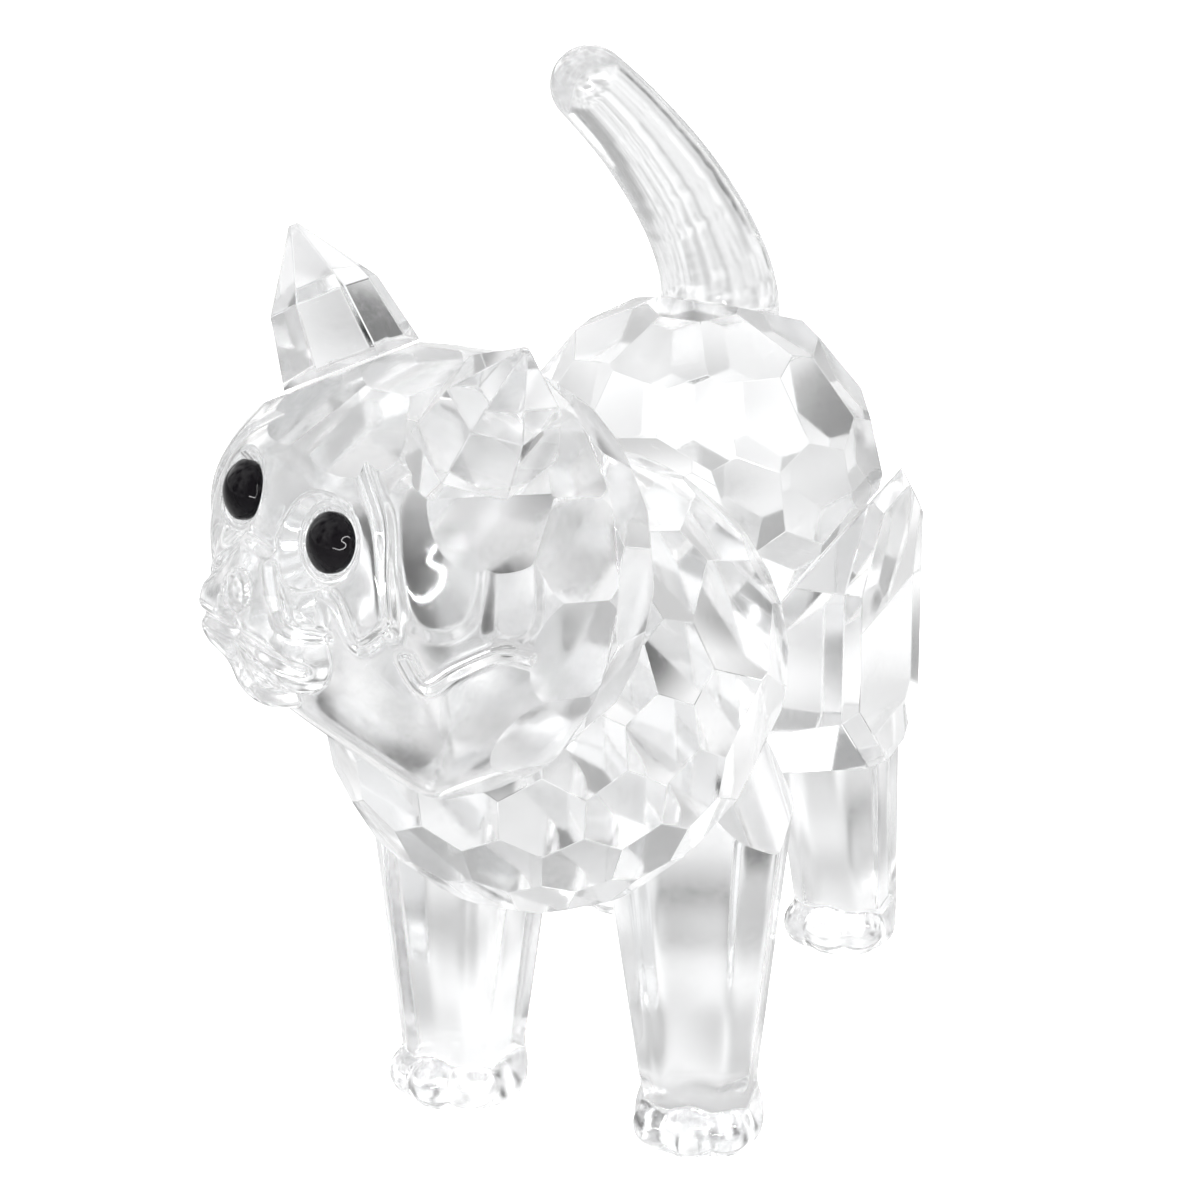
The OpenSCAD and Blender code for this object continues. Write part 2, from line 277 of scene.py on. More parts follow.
def frame_solid(node_name):
    """A bmesh of a frame node with its vertices welded."""
    bm = bmesh.new()
    bm.from_mesh(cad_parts[node_name].data)
    bmesh.ops.remove_doubles(bm, verts=bm.verts, dist=WELD)
    return bm


def lay_flat(bm):
    """Faces outward, flat shaded, in the first material."""
    bmesh.ops.recalc_face_normals(bm, faces=bm.faces)
    for face in bm.faces:
        face.smooth = False
        face.material_index = 0


def cut_piece(node_name, edge_width, materials):
    """A solid with ground facets, from the frame's own faces, with its edges just taken off."""
    bm = frame_solid(node_name)
    bmesh.ops.dissolve_limit(bm, angle_limit=SAME_FLAT, verts=bm.verts, edges=bm.edges)
    lay_flat(bm)
    soften_edges(bm, edge_width)
    mark_seats(bm)
    finish_mesh(bm, node_name + "_cut", node_name, materials)


def grid_faces(rows, columns):
    """Quads of a tube of rows by columns vertices, closed round its columns."""
    i, j = np.meshgrid(np.arange(rows - 1), np.arange(columns), indexing="ij")
    k = (j + 1) % columns
    quads = (i * columns + j, i * columns + k, (i + 1) * columns + k, (i + 1) * columns + j)
    return np.stack([q.ravel() for q in quads], axis=1).tolist()


def closed_tube(points, rows, columns):
    """A bmesh of a tube closed by a flat face at each end, faces outward and smooth."""
    faces = grid_faces(rows, columns)
    faces.append(list(range(columns)))
    faces.append(list(range((rows - 1) * columns, rows * columns)))
    mesh = bpy.data.meshes.new("tube")
    mesh.from_pydata([tuple(p) for p in points], [], faces)
    bm = bmesh.new()
    bm.from_mesh(mesh)
    bpy.data.meshes.remove(mesh)
    bmesh.ops.recalc_face_normals(bm, faces=bm.faces)
    for face in bm.faces:
        face.smooth = len(face.verts) < 5
        for edge in face.edges if not face.smooth else ():
            edge.smooth = False
    return bm


def soft_max(values, blend):
    """The largest value at each place, rounded where two are nearly equal."""
    values = np.stack(np.broadcast_arrays(*values))
    top = values.max(0)
    return top + blend * np.log(np.exp((values - top) / blend).sum(0))


def soft_min(values, blend):
    return -soft_max([-np.asarray(v) for v in values], blend)


def smooth_step(low, high, x):
    t = np.clip((x - low) / (high - low), 0, 1)
    return t * t * (3 - 2 * t)


def ray_to_ball(rays, centre, radius):
    """Distance along rays from the origin to the far side of a ball."""
    centre = np.array(centre, float)
    along = rays @ centre
    return along + np.sqrt(np.maximum(along ** 2 - centre @ centre + radius ** 2, 0))


def finish_mesh(bm, name, node_name, materials):
    """Makes the piece that stands for a frame node."""
    mesh = bpy.data.meshes.new(name)
    bm.to_mesh(mesh)
    bm.free()
    piece = new_piece(name, mesh, materials)
    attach(piece, BODY)
    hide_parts(node_name)


# ---------------------------------------------------------------- face
# Lengths in mm in the head's own frame: left, forward, up. Angles in degrees:
# turn to the cat's left, then height.

HEAD_BALL = 9.95
BROW_BALL = ((0, -4, 2), 13)
BROW_BLEND = 0.12
MUZZLE = ((0, 6.6, -0.9), 3.4)
NOSE = ((0, 9.6, -0.5), 0.9)
WHISKER_PADS = (((1.8, 7.8, -2.2), 2.1), ((-1.8, 7.8, -2.2), 2.1))
CHIN = ((0, 7.1, -3.9), 1.9)
LUMPS = (MUZZLE, NOSE, *WHISKER_PADS, CHIN)
LUMP_BLEND = 0.4
# The jaw is ground back from the ball: height of the flat, its distance from the centre.
JAW_HEIGHT, JAW_REACH, JAW_BLEND = -60, 8.35, 0.35

# Grooves: a curve through places, half width in degrees, depth in mm.
GROOVES = (
    # Edge of the mask, from the brow down to the cheek, and its foot, back to the muzzle.
    (((22, 40), (35, 27), (40, 13), (44, 0)), 1.6, 0.17),
    (((43, 1), (36, -7), (29, 2), (25, 5)), 1.4, 0.15),
    # Line under the cheek.
    (((49, -6), (55, -12), (61, -6), (71, 0), (80, -1)), 1.4, 0.19),
    # Crease over the brow.
    (((19, 46), (31, 45), (46, 37)), 1.2, 0.07),
    # Side of the muzzle.
    (((8, 6), (16, -5), (26, -7)), 1.5, 0.18),
    # Mouth and lip.
    (((0, -14), (12, -14), (22, -17)), 1.7, 0.32),
    (((0, -8), (0, -14)), 1.4, 0.12),
    # Root of the nose.
    (((0, 10), (9, 10), (15, 13)), 1.8, 0.12),
)
# Raised pads: a closed curve through places, width of the shoulder in degrees, height in mm.
CHEEK = (((37, 34), (47, 38), (60, 33), (64, 20), (62, 6), (52, 2), (45, 9)), 5.0, 0.12)
SIDEBURN = (((66, 30), (75, 31), (79, 7), (67, 5)), 3.5, 0.1)
PADS = (CHEEK, SIDEBURN)
# Bumps: place, half widths in degrees, height in mm. Pits have a negative height.
BUMPS = (
    ((19, -2), (5, 6), 0.22),
    ((35, 0), (5, 6), 0.12),
    ((3, -6), (1.5, 1.2), -0.16),
    ((5, -10), (4, 4), 0.12),
    ((52, 19), (9, 12), 0.1),
)
# The foot of an eye stone, where the stone faces, and the stone's radius, straight edge and dome.
EYE = np.array((3.15, 7.95, 2.7))
EYE_TURN, EYE_HEIGHT = 6.0, 6.0
STONE_R, STONE_EDGE, STONE_DOME = 1.3, 0.35, 0.7
# The bowl: depth of its floor under the stone, height of the ledge round it, radius of its wall.
BOWL_SINK, BOWL_LEDGE, BOWL_R, BOWL_BLEND = 0.1, 0.4, 1.75, 0.05
# Cut facets: distance from the head's centre, number and height of those round the rim.
FACET_REACH = 9.62
RIM_FACETS, RIM_HEIGHT = 14, -4
# Rows of facets over the brow: height of the row, places in steps of the rim facets.
BROW_FACETS = ((19, (-2, -1, 0, 1, 2)), (41, (-0.5, 0.5)))
# The facet in the middle of the forehead: height, distance.
FOREHEAD_FACET = (47.3, 9.69)
# The mesh of the face: angle from straight ahead at its first and last ring, in degrees.
FACE_FROM, FACE_TO = 0.15, 114.15
FACE_RINGS, FACE_COLUMNS = 180, 460


def turn_dir(turn, height):
    """Unit vector at a turn to the left of straight ahead and a height, in degrees."""
    t, h = math.radians(turn), math.radians(height)
    return np.array((math.sin(t) * math.cos(h), math.cos(t) * math.cos(h), math.sin(h)))


def rim_dir(lat, lon):
    """Unit vector at a latitude towards straight ahead and a longitude round that axis."""
    a, b = math.radians(lat), math.radians(lon)
    return np.array((math.cos(a) * math.cos(b), math.sin(a), math.cos(a) * math.sin(b)))


def spread(turn, height):
    """Places in degrees on a flat sheet, true to size at any height."""
    return turn * np.cos(np.radians(height)), height


def curve_through(points, closed=False, steps=5):
    """A smooth curve through a few places, as many short steps."""
    given = np.array(points, float)
    last = len(given) - 1
    made = []
    for i in range(last + closed):
        near = [k % (last + 1) if closed else min(max(k, 0), last) for k in range(i - 1, i + 3)]
        a, b, c, d = given[near]
        for t in np.linspace(0, 1, steps, endpoint=False):
            made.append(b + 0.5 * t * (c - a + t * (2 * a - 5 * b + 4 * c - d + t * (3 * (b - c) + d - a))))
    if not closed:
        made.append(given[last])
    return np.array(made)


def line_distance(x, y, points, closed=False):
    """Distance from each place to a curve through points, all in degrees."""
    px, py = spread(*curve_through(points, closed).T)
    ends = range(len(px) if closed else len(px) - 1)
    best = np.full(x.shape, 1e9)
    for i in ends:
        j = (i + 1) % len(px)
        dx, dy = px[j] - px[i], py[j] - py[i]
        t = np.clip(((x - px[i]) * dx + (y - py[i]) * dy) / (dx * dx + dy * dy), 0, 1)
        best = np.minimum(best, np.hypot(x - px[i] - t * dx, y - py[i] - t * dy))
    return best


def inside_outline(x, y, points):
    """Whether each place lies inside the closed curve through points."""
    px, py = spread(*curve_through(points, closed=True).T)
    inside = np.zeros(x.shape, bool)
    for i in range(len(px)):
        j = i - 1
        crosses = (py[i] > y) != (py[j] > y)
        span = py[j] - py[i] if py[j] != py[i] else 1e-9
        inside ^= crosses & (x < (px[j] - px[i]) * (y - py[i]) / span + px[i])
    return inside


def eye_bowl(rays, side):
    """Distance to the moulded bowl an eye stone sits in, closed in on step by step."""
    axis = turn_dir(EYE_TURN * side, EYE_HEIGHT)
    seat = EYE * (side, 1, 1) - axis * BOWL_SINK
    facing = np.maximum(rays @ axis, 0.2)
    flat = (seat @ axis) / facing
    reach = flat.copy()
    for _ in range(12):
        off = rays * reach[:, None] - seat
        away = np.sqrt(np.maximum((off ** 2).sum(1) - (off @ axis) ** 2, 0))
        ledge = BOWL_LEDGE * smooth_step(STONE_R + 0.03, STONE_R + 0.25, away)
        wall = np.maximum(away - BOWL_R, 0)
        reach = 0.5 * reach + 0.5 * (flat + (ledge + wall) / facing)
    return np.where(rays @ axis > 0.3, reach, 10 * HEAD_BALL)


def face_reach(rays):
    """Distance from the head's centre to the moulded face along each ray, in mm."""
    reach = soft_min([HEAD_BALL, ray_to_ball(rays, *BROW_BALL)], BROW_BLEND)
    facing_jaw = np.maximum(rays @ turn_dir(0, JAW_HEIGHT), 1e-3)
    reach = soft_min([reach, JAW_REACH / facing_jaw], JAW_BLEND)
    reach = soft_max([reach] + [ray_to_ball(rays, *lump) for lump in LUMPS], LUMP_BLEND)
    turn = np.abs(np.degrees(np.arctan2(rays[:, 0], rays[:, 1])))
    height = np.degrees(np.arcsin(np.clip(rays[:, 2], -1, 1)))
    x, y = spread(turn, height)
    for outline, shoulder, rise in PADS:
        gap = line_distance(x, y, outline, closed=True)
        gap = np.where(inside_outline(x, y, outline), gap, -gap)
        reach = reach + rise * smooth_step(-shoulder / 2, shoulder / 2, gap)
    for place, size, rise in BUMPS:
        px, py = spread(*place)
        reach = reach + rise * np.exp(-((x - px) / size[0]) ** 2 - ((y - py) / size[1]) ** 2)
    for line, width, depth in GROOVES:
        reach = reach - depth * np.exp(-(line_distance(x, y, line) / width) ** 2)
    for side in SIDES.values():
        reach = soft_min([reach, eye_bowl(rays, side)], BOWL_BLEND)
    return reach


def head_points(local):
    """Places from the head's own frame, in mm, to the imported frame."""
    axes = np.array((LEFT, FORWARD, UP))
    return np.array(HEAD) + local * MM @ axes


def head_dir(direction):
    """A direction from the head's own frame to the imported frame."""
    return Vector(direction @ np.array((LEFT, FORWARD, UP)))


def face_facets():
    """Direction and distance of every cut facet of the face."""
    step = 360 / RIM_FACETS
    facets = [(rim_dir(RIM_HEIGHT, step * i), FACET_REACH) for i in range(RIM_FACETS)]
    for height, row in BROW_FACETS:
        facets += [(rim_dir(height, 90 + step * i), FACET_REACH) for i in row]
    height, reach = FOREHEAD_FACET
    facets.append((turn_dir(0, height), reach))
    return facets


def face_piece(materials):
    """The moulded face: relief in front, cut facets at its rim, ground flats for its seats."""
    share = np.linspace(0, 1, FACE_RINGS)
    ring = np.radians(FACE_FROM + (FACE_TO - FACE_FROM) * (0.72 * share + 0.28 * share ** 2.5))
    column = np.linspace(0, 2 * math.pi, FACE_COLUMNS, endpoint=False)
    ring, column = (g.ravel() for g in np.meshgrid(ring, column, indexing="ij"))
    rays = np.stack([np.sin(ring) * np.cos(column), np.cos(ring), np.sin(ring) * np.sin(column)], 1)
    points = head_points(rays * face_reach(rays)[:, None])
    bm = closed_tube(points, FACE_RINGS, FACE_COLUMNS)
    for direction, reach in face_facets():
        n = head_dir(direction)
        cut(bm, HEAD + n * reach * MM, n)
    for film in ("glue_face", "glue_neck", "glue_ear_left", "glue_ear_right"):
        centre, normal, half = SEATS[film]
        out = normal if normal.dot(centre - in_head((0, 3 * MM, 0))) > 0 else -normal
        cut(bm, centre - out * half, out)
    mark_seats(bm)
    finish_mesh(bm, "moulded_face", "face", materials)


# ---------------------------------------------------------------- legs

# Lengths in mm. Each leg: the place of its axis, how far it is turned outwards in degrees, the
# height of its block before it is cut, the radius of the paw and how far out its toes lie, and the
# direction and distance of the bevel at its head.
# Sides of a shank: direction in degrees, half width at the ankle, outward lean above it.

MID_X = (SEATS["glue_front_leg_left"][0].x + SEATS["glue_front_leg_right"][0].x) / 2 / MM
ANKLE = 3.2
FRONT_LEG = dict(
    place=(6.1, 0.81), turn=10.0, top=21.0,
    sides=((-90, 2.65, 5), (90, 2.65, 5), (0, 2.65, 6), (180, 2.65, 8),
           (-45, 3.07, 5.5), (-135, 3.07, 6.5), (45, 3.07, 5.5), (135, 3.07, 6.5)),
    paw=3.1, reach=2.5, bevel=((0.75, 0, 0.66), 13.8),
)
HIND_LEG = dict(
    place=(6.0, 22.41), turn=0.0, top=14.5,
    sides=((-90, 2.4, 18), (90, 2.4, -11), (0, 2.4, 3), (180, 2.4, 3),
           (-45, 2.78, 12), (-135, 2.78, 12), (45, 2.78, -6), (135, 2.78, -6)),
    paw=2.7, reach=2.1, bevel=None,
)
PAW_Z = 0.9
TOES = (-38, 0, 38)
TOE_R, TOE_Z = 1.3, 1.2
PAW_BLEND = 0.12
SOLE_ROUND = 0.25
# The higher the power, the sharper the corners between the sides.
CORNER_POWER = 26
LEG_RINGS, LEG_COLUMNS = 90, 160


def leg_reach(angle, z, leg):
    """Distance from the axis of a leg to its surface, in mm."""
    lean = math.radians(leg["turn"])
    inverse = 0.0
    for lon, half, slope in leg["sides"]:
        facing = np.maximum(np.cos(angle - math.radians(lon) - lean), 1e-3)
        flat = np.maximum(half + (z - ANKLE) * math.tan(math.radians(slope)), 0.2)
        inverse = inverse + (facing / flat) ** CORNER_POWER
    shank = inverse ** (-1 / CORNER_POWER)
    flat_rays = np.stack([np.cos(angle), np.sin(angle)], 1)
    balls = [((0, 0, PAW_Z), leg["paw"])]
    for toe in TOES:
        a = math.radians(toe) + lean
        balls.append(((leg["reach"] * math.sin(a), -leg["reach"] * math.cos(a), TOE_Z), TOE_R))
    reaches = [np.where(z > PAW_Z, shank, 0)]
    for (cx, cy, cz), radius in balls:
        level = radius ** 2 - (z - cz) ** 2
        along = flat_rays @ (cx, cy)
        gap = along ** 2 - cx * cx - cy * cy + level
        reaches.append(np.where((level > 0) & (gap > 0), along + np.sqrt(np.maximum(gap, 0)), 0))
    reach = soft_max(reaches, PAW_BLEND)
    sole = np.clip((SOLE_ROUND - z) / SOLE_ROUND, 0, 1)
    return reach - SOLE_ROUND * (1 - np.sqrt(1 - sole ** 2 * 0.98))


def leg_piece(name, leg, side, materials):
    """A moulded leg: flat-sided shank, paw with toes, ground bevel and seat."""
    z = leg["top"] * np.concatenate([[0], np.linspace(0.002, 1, LEG_RINGS - 1) ** 1.6])
    angle = np.linspace(0, 2 * math.pi, LEG_COLUMNS, endpoint=False)
    z, angle = (g.ravel() for g in np.meshgrid(z, angle, indexing="ij"))
    reach = leg_reach(angle, z, leg)
    across, along = leg["place"]
    x = MID_X + side * (across + reach * np.cos(angle))
    y = along + reach * np.sin(angle)
    bm = closed_tube(np.stack([x, y, z], 1) * MM, LEG_RINGS, LEG_COLUMNS)
    foot = Vector((MID_X + side * across, along, 0)) * MM
    if leg["bevel"]:
        (bx, by, bz), away = leg["bevel"]
        n = Vector((bx * side, by, bz)).normalized()
        cut(bm, foot + n * away * MM, n)
    centre, normal, half = SEATS["glue_" + name]
    out = normal if normal.dot(centre - foot) > 0 else -normal
    cut(bm, centre - out * half, out)
    mark_seats(bm)
    finish_mesh(bm, name + "_moulded", name, materials)


# ---------------------------------------------------------------- tail
# Lengths in mm: how far it rises square from its seat, where it ends from there, the pull back from
# its end, and its radii.

TAIL_RISE = 2.2
TAIL_TIP = (-4.9, -4.8, 12.2)
TAIL_CURL = (3.2, 3.4, -4.8)
TAIL_BASE_R, TAIL_TIP_R = 3.0, 1.9
TAIL_OVERLAP = 0.4
TAIL_WAVINESS = 0.03
TAIL_RIPPLES = 7.0
TIP_ROUND = math.radians(88)


def mix_vectors(tree, a, b, share):
    """Output of a node that goes from vector a to vector b as share goes from 0 to 1."""
    made = node(tree, "ShaderNodeMix", data_type="VECTOR")
    tree.links.new(share, made.inputs["Factor"])
    for source, name in ((a, "A"), (b, "B")):
        socket = next(i for i in made.inputs if i.name == name and i.type == "VECTOR")
        tree.links.new(source, socket)
    return next(o for o in made.outputs if o.type == "VECTOR")


def number(tree, operation, a, b):
    """Output of a maths node between two sockets or plain numbers."""
    made = node(tree, "ShaderNodeMath", operation=operation)
    for value, socket in zip((a, b), made.inputs):
        if isinstance(value, (int, float)):
            socket.default_value = value
        else:
            tree.links.new(value, socket)
    return made.outputs[0]


def tail_tree(material):
    """Sweeps a round section along a cubic path, narrowing to a rounded tip."""
    tree = bpy.data.node_groups.new("Tail sweep", "GeometryNodeTree")
    face = tree.interface
    for name in ("Start", "Start handle", "End handle", "End"):
        face.new_socket(name, in_out="INPUT", socket_type="NodeSocketVector")
    for name, default in (("Base radius", 0.003), ("Tip radius", 0.002), ("Waviness", 0.02)):
        face.new_socket(name, in_out="INPUT", socket_type="NodeSocketFloat").default_value = default
    for name, default in (("Rings", 60), ("Tip rings", 14), ("Sides", 72)):
        face.new_socket(name, in_out="INPUT", socket_type="NodeSocketInt").default_value = default
    face.new_socket("Tail", in_out="OUTPUT", socket_type="NodeSocketGeometry")
    start = node(tree, "NodeGroupInput")
    end = node(tree, "NodeGroupOutput")
    value = start.outputs
    index = node(tree, "GeometryNodeInputIndex").outputs[0]
    count = number(tree, "ADD", number(tree, "ADD", value["Rings"], value["Tip rings"]), 1)
    line = node(tree, "GeometryNodeMeshLine")
    tree.links.new(count, line.inputs["Count"])
    share = number(tree, "MINIMUM", number(tree, "DIVIDE", index, value["Rings"]), 1.0)
    past = number(tree, "MAXIMUM", number(tree, "SUBTRACT", index, value["Rings"]), 0.0)
    over = number(tree, "MULTIPLY", number(tree, "DIVIDE", past, value["Tip rings"]), TIP_ROUND)
    corners = [value[n] for n in ("Start", "Start handle", "End handle", "End")]
    while len(corners) > 1:
        corners = [mix_vectors(tree, a, b, share) for a, b in zip(corners, corners[1:])]
    ahead = node(tree, "ShaderNodeVectorMath", operation="SUBTRACT")
    tree.links.new(value["End"], ahead.inputs[0])
    tree.links.new(value["End handle"], ahead.inputs[1])
    unit = node(tree, "ShaderNodeVectorMath", operation="NORMALIZE")
    tree.links.new(ahead.outputs[0], unit.inputs[0])
    push = node(tree, "ShaderNodeVectorMath", operation="SCALE")
    tree.links.new(unit.outputs[0], push.inputs[0])
    tree.links.new(number(tree, "MULTIPLY", number(tree, "SINE", over, 0), value["Tip radius"]),
                   push.inputs["Scale"])
    spot = node(tree, "ShaderNodeVectorMath", operation="ADD")
    tree.links.new(corners[0], spot.inputs[0])
    tree.links.new(push.outputs[0], spot.inputs[1])
    place = node(tree, "GeometryNodeSetPosition")
    link(tree, line, "Mesh", place, "Geometry")
    tree.links.new(spot.outputs[0], place.inputs["Position"])
    width = number(tree, "ADD", value["Base radius"], number(
        tree, "MULTIPLY", share, number(tree, "SUBTRACT", value["Tip radius"], value["Base radius"])))
    ripple = node(tree, "ShaderNodeTexNoise", noise_dimensions="1D")
    ripple.inputs["Scale"].default_value = TAIL_RIPPLES
    tree.links.new(share, ripple.inputs["W"])
    swell = number(tree, "MULTIPLY", number(tree, "SUBTRACT", ripple.outputs[0], 0.5), value["Waviness"])
    width = number(tree, "MULTIPLY", width, number(tree, "ADD", swell, 1.0))
    width = number(tree, "MULTIPLY", width, number(tree, "COSINE", over, 0))
    path = node(tree, "GeometryNodeMeshToCurve")
    link(tree, place, "Geometry", path, "Mesh")
    section = node(tree, "GeometryNodeCurvePrimitiveCircle")
    tree.links.new(value["Sides"], section.inputs["Resolution"])
    section.inputs["Radius"].default_value = 1.0
    sweep = node(tree, "GeometryNodeCurveToMesh")
    link(tree, path, "Curve", sweep, "Curve")
    link(tree, section, "Curve", sweep, "Profile Curve")
    tree.links.new(width, sweep.inputs["Scale"])
    sweep.inputs["Fill Caps"].default_value = True
    smooth = node(tree, "GeometryNodeSetShadeSmooth")
    link(tree, sweep, "Mesh", smooth, "Geometry")
    real = node(tree, "GeometryNodeRealizeInstances")
    link(tree, smooth, "Geometry", real, "Geometry")
    paint = node(tree, "GeometryNodeSetMaterial")
    paint.inputs["Material"].default_value = material
    link(tree, real, "Geometry", paint, "Geometry")
    link(tree, paint, "Geometry", end, "Tail")
    return tree


def grown_mesh(name, tree, values):
    """The mesh a Geometry Nodes tree makes with the given inputs."""
    maker = bpy.data.objects.new(name, bpy.data.meshes.new(name))
    bpy.context.scene.collection.objects.link(maker)
    modifier = maker.modifiers.new("grow", "NODES")
    modifier.node_group = tree
    for item in tree.interface.items_tree:
        if item.item_type == "SOCKET" and item.name in values:
            modifier[item.identifier] = values[item.name]
    graph = bpy.context.evaluated_depsgraph_get()
    mesh = bpy.data.meshes.new_from_object(maker.evaluated_get(graph))
    maker.modifiers.remove(modifier)
    bpy.data.objects.remove(maker)
    return mesh


def tail_piece(materials):
    """The moulded tail, cut off flat at its seat."""
    centre, normal, half = SEATS["glue_tail"]
    up = normal if normal.z > 0 else -normal
    seat = centre + up * half
    tip = seat + Vector(TAIL_TIP) * MM
    mesh = grown_mesh("tail_sweep", tail_tree(materials[0]), {
        "Start": seat - up * TAIL_OVERLAP * MM, "Start handle": seat + up * TAIL_RISE * MM,
        "End handle": tip + Vector(TAIL_CURL) * MM, "End": tip,
        "Base radius": TAIL_BASE_R * MM, "Tip radius": TAIL_TIP_R * MM, "Waviness": TAIL_WAVINESS})
    bm = bmesh.new()
    bm.from_mesh(mesh)
    bpy.data.meshes.remove(mesh)
    bmesh.ops.recalc_face_normals(bm, faces=bm.faces)
    cut(bm, seat, -up)
    mark_seats(bm)
    finish_mesh(bm, "tail_sweep", "tail", materials)


# ---------------------------------------------------------------- eye stones

STONE_COLUMNS = 96
DOME_RINGS = 26


def eye_stone(side_name, stone):
    """A turned black stone: straight edge, low dome, closed pole."""
    side = SIDES[side_name]
    axis = turn_dir(EYE_TURN * side, EYE_HEIGHT)
    dome_r = (STONE_R ** 2 + STONE_DOME ** 2) / (2 * STONE_DOME)
    half_angle = math.asin(STONE_R / dome_r)
    profile = [
        (STONE_R - 0.06, 0.0), (STONE_R - 0.02, 0.02), (STONE_R, 0.08), (STONE_R, STONE_EDGE - 0.05)
    ]
    for t in np.linspace(0.985, 0.0, DOME_RINGS)[:-1]:
        a = half_angle * t
        profile.append((dome_r * math.sin(a), STONE_EDGE + STONE_DOME - dome_r + dome_r * math.cos(a)))
    across = np.cross(axis, (0, 0, 1))
    across /= np.linalg.norm(across)
    upward = np.cross(across, axis)
    angle = np.linspace(0, 2 * math.pi, STONE_COLUMNS, endpoint=False)
    circle = np.cos(angle)[:, None] * across + np.sin(angle)[:, None] * upward
    rings = [EYE * (side, 1, 1) + axis * height + circle * radius for radius, height in profile]
    bm = closed_tube(head_points(np.concatenate(rings)), len(profile), STONE_COLUMNS)
    caps = [f for f in bm.faces if len(f.verts) > 4]
    top = max(caps, key=lambda f: (f.calc_center_median() - HEAD).length)
    for face in bmesh.ops.poke(bm, faces=[top])["faces"]:
        face.smooth = True
        for edge in face.edges:
            edge.smooth = True
    finish_mesh(bm, "eye_stone_" + side_name, "eye_" + side_name, [stone])


# ---------------------------------------------------------------- adhesive

# Thickness of a film as a share of its gap.
FILM_SHARE = 0.7


def film_piece(node_name, material):
    """A film of adhesive, a little thinner than its gap so that no two faces coincide."""
    bm = frame_solid(node_name)
    lay_flat(bm)
    centre, normal, _half = SEATS[node_name]
    for vert in bm.verts:
        vert.co -= normal * (vert.co - centre).dot(normal) * (1 - FILM_SHARE)
    finish_mesh(bm, node_name.replace("glue", "film"), node_name, [material])


# ---------------------------------------------------------------- stage

VIEW_AZIMUTH = math.radians(21.4)
VIEW_ELEVATION = math.radians(24.07)
VIEW_TARGET = Vector((2.55, -2.79, 28.65)) * MM
VIEW_DISTANCE = 230 * MM
LENS = 152.2
SENSOR = 36.0
# Brightness of the room: place from straight behind the cat to straight behind the viewer, grey.
ROOM_LIGHT = ((0.0, 1.1), (0.5, 1.2), (0.84, 1.0), (0.91, 0.5), (0.95, 0.12), (1.0, 0.05))
# Dark seams and bright folds of the white cloth round the stage.
ROOM_FOLDS = ((0.0, 0.04), (0.36, 0.06), (0.4, 0.45), (0.47, 0.85), (0.56, 1.05), (0.62, 1.7), (1.0, 1.9))
FOLDS_ACROSS = 3.2
# The floor glows though it is no lamp: its own grey, the extra painted glow where it is seen directly, and
# the patches of its painted glow, painted shade and painted light seen through the glass, with how many
# there are to a metre.
FLOOR_SIZE = 3.0
FLOOR_GREY, FLOOR_SEEN_PAINTED_GLOW = 0.12, 1.2
FLOOR_PAINTED_GLOW = ((0.0, 0.0), (0.38, 0.03), (0.45, 0.2), (0.52, 0.36), (0.6, 0.5), (1.0, 0.6))
FLOOR_PAINTED_PATCHES = 60.0
# The floor lies this far under the paws, so that no two faces coincide.
FLOOR_GAP = 0.02 * MM
# Painted shadows and painted pools of light in the floor's glow: place in mm, radius in mm, change of the
# glow.
# The large bright one is painted glow that lights the figurine from behind.
FLOOR_PAINTED_SHADOWS_AND_LIGHTS = (
    ((0, 110), 200, 0.45),
    ((26, 9), 9, -0.75), ((7, 17), 6, -0.4), ((26, -9), 5, -0.5), ((-46, 16), 6, -0.8),
    ((-30, 32), 6, -0.6), ((-4, 32), 5, -0.35), ((-18, -6), 6, -0.4),
    ((-14, 56), 6, 0.5), ((-6, 0), 4, 0.5), ((34, 40), 6, 0.4),
)
# Softness of the edge of each painted shadow or painted pool of light, as a share of its radius.
PAINTED_SPOT_EDGE = 0.25
# The lamp: turn and height from the cat in degrees, distance, tube and size in metres, and the points
# of its bent tube in units of its size.
LAMP_PLACE = (38.0, 20.0)
LAMP_FAR = 0.5
LAMP_TUBE = 0.011
LAMP_SIZE = 0.165
LAMP_SHAPE = ((3.4, 0.6), (1.5, 1.0), (-0.9, 0.75), (-0.3, -0.1), (-0.9, -0.75), (-3.0, -0.6))
LAMP_POWER = 60.0


def sky_direction(turn, height):
    """Unit vector at a turn to the cat's left of straight before it and a height, in radians."""
    flat = math.cos(height)
    return Vector((math.sin(turn) * flat, -math.cos(turn) * flat, math.sin(height)))


VIEW_FROM = sky_direction(VIEW_AZIMUTH, VIEW_ELEVATION)


def make_camera():
    data = bpy.data.cameras.new("Camera")
    data.lens = LENS
    data.sensor_width = SENSOR
    data.clip_start = 0.005
    data.clip_end = 50
    made = bpy.data.objects.new("Camera", data)
    bpy.context.scene.collection.objects.link(made)
    made.location = VIEW_TARGET + VIEW_FROM * VIEW_DISTANCE
    made.rotation_euler = (-VIEW_FROM).to_track_quat("-Z", "Y").to_euler()
    bpy.context.scene.camera = made


def grey_ramp(tree, levels):
    """A ramp of greys through the given places."""
    ramp = node(tree, "ShaderNodeValToRGB")
    stops = ramp.color_ramp.elements
    for position, _grey in levels[2:]:
        stops.new(position)
    for stop, (position, grey) in zip(stops, levels):
        stop.position = position
        stop.color = (grey, grey, grey, 1)
    return ramp


def grey_patches(tree, place, coordinates, scale, levels):
    """Soft patches of the given greys."""
    cloud = node(tree, "ShaderNodeTexNoise")
    cloud.inputs["Scale"].default_value = scale
    cloud.inputs["Detail"].default_value = 1.0
    link(tree, place, coordinates, cloud, "Vector")
    patches = grey_ramp(tree, levels)
    link(tree, cloud, "Fac", patches, "Fac")
    return patches


